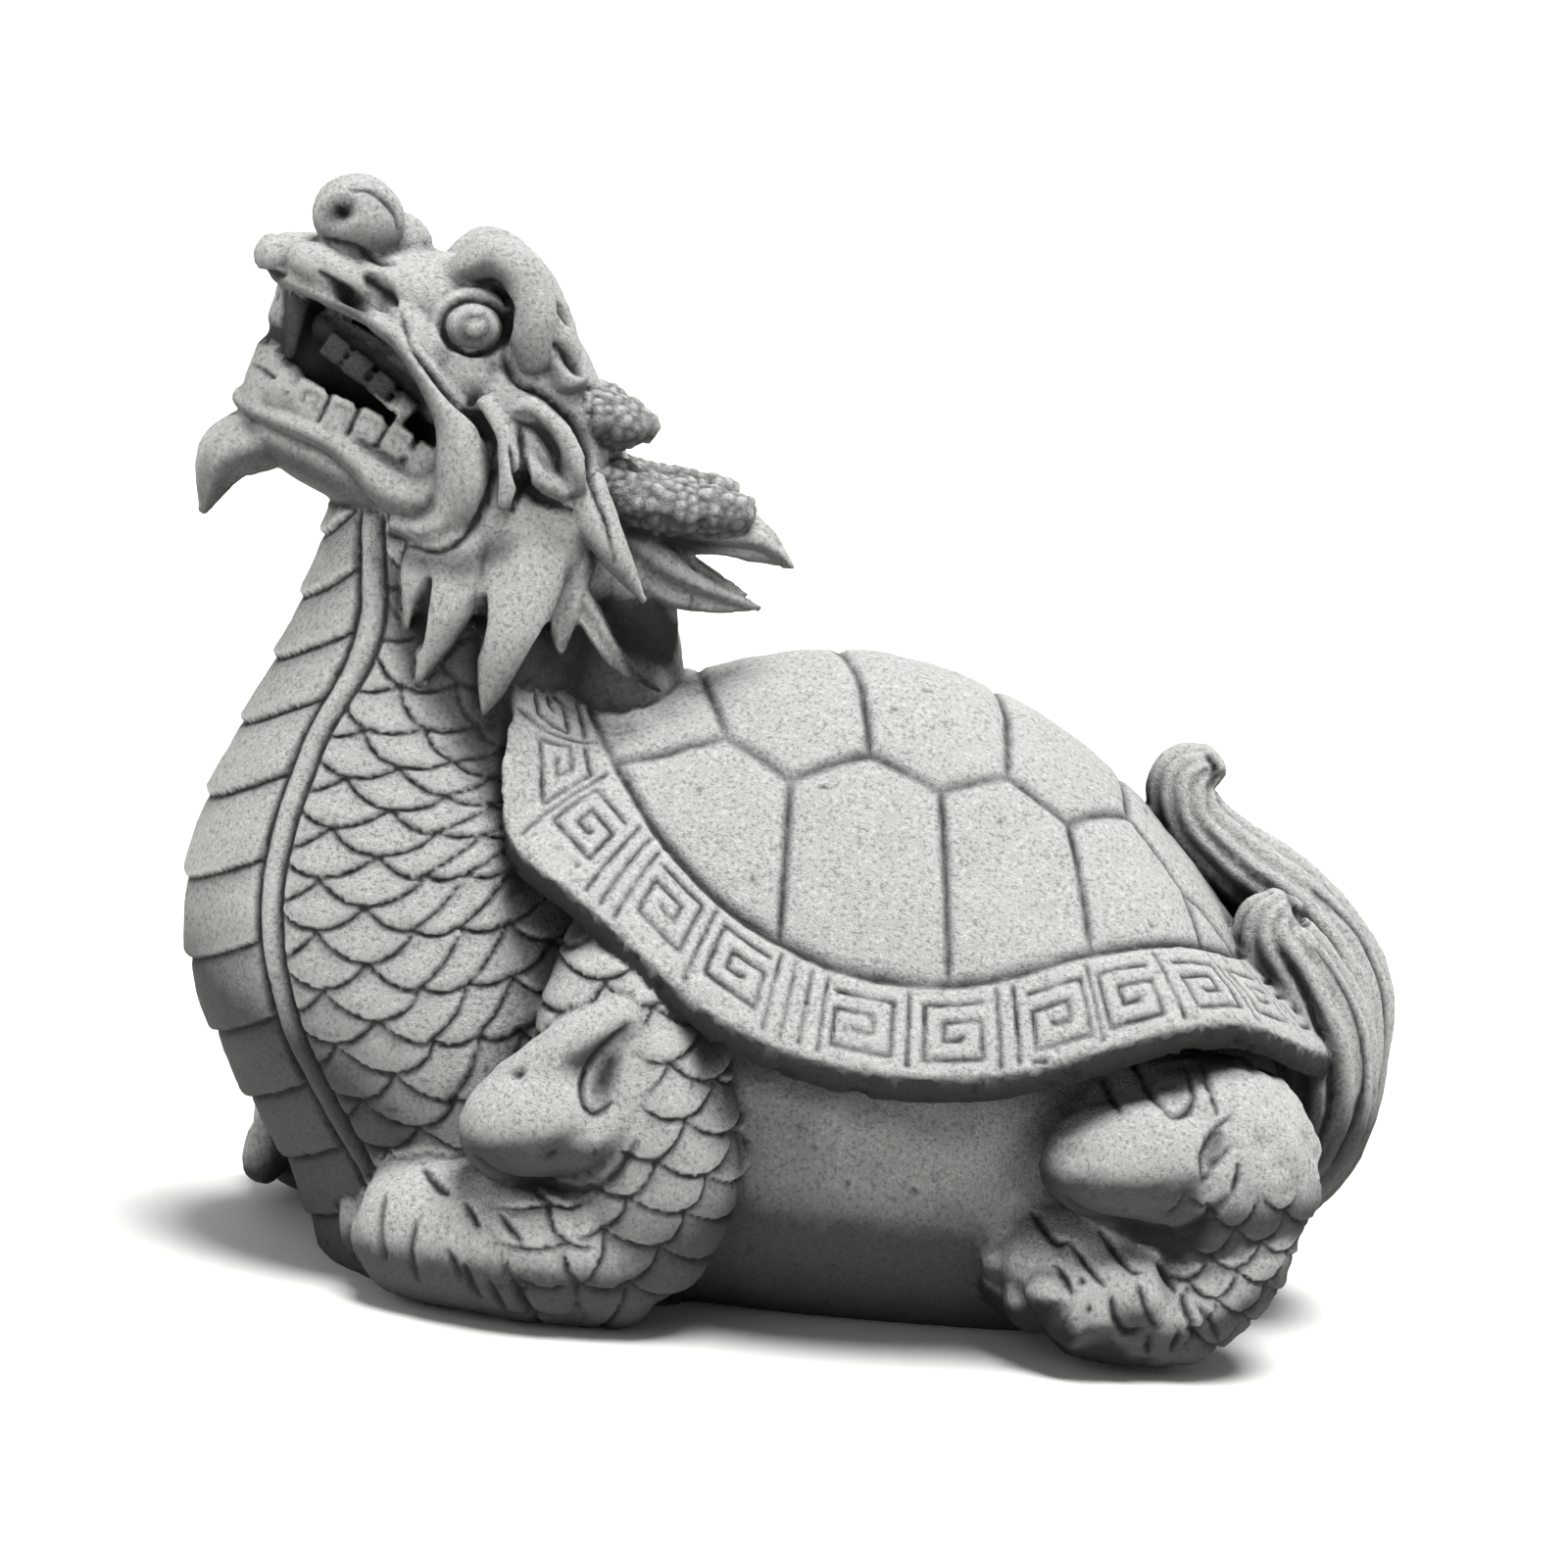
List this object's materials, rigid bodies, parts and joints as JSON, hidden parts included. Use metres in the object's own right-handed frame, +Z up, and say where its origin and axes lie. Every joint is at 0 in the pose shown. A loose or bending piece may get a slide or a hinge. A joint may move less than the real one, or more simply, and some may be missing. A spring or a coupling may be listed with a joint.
{
  "type": "dragon turtle figure",
  "caption": "Carved stone dragon turtle lying on its belly with raised open-mouthed head, scaled neck, domed scuted shell with a patterned rim, clawed paws and a curled tail.",
  "frame": {"origin": "on the flat underside, below the shell's front part, in the figure's middle plane", "axes": "+X from head to tail, +Z up, -Y the side with the trailing front paw"},
  "size_m": [0.3012, 0.1706, 0.2555],
  "materials": {
    "cast_stone": "matte"
  },
  "bodies": {
    "root": {"dragon_turtle": "cast_stone"}
  },
  "joints": []
}
